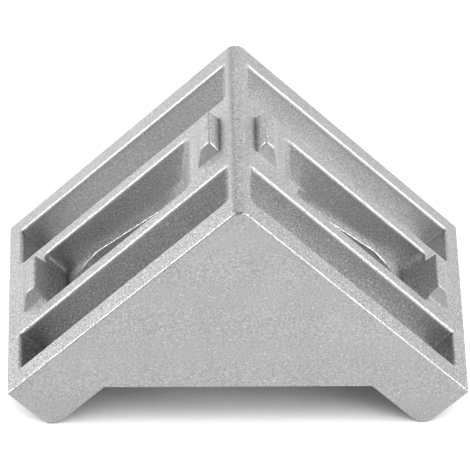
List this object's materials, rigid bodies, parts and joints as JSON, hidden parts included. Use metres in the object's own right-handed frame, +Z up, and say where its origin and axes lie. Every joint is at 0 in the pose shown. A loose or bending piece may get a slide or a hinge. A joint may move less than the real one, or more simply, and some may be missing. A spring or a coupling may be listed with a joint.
{
  "type": "t slot corner bracket",
  "caption": "Die-cast right-angle bracket that joins two T-slot profiles, with triangular side plates, upright bolt slots and locating lugs on both mounting faces.",
  "frame": {"origin": "middle of the bracket, level with the two leg ends that it stands on", "axes": "+Z up through the corner between the two mounting faces, +X from the left leg to the right leg, +Y from one side plate to the other; the mounting faces look up at 45 degrees along -X+Z and +X+Z"},
  "size_m": [0.0566, 0.0358, 0.0325],
  "materials": {
    "cast_aluminium": "raw die-cast, fine matt grain"
  },
  "bodies": {
    "root": {"corner_bracket": "cast_aluminium"}
  },
  "joints": []
}
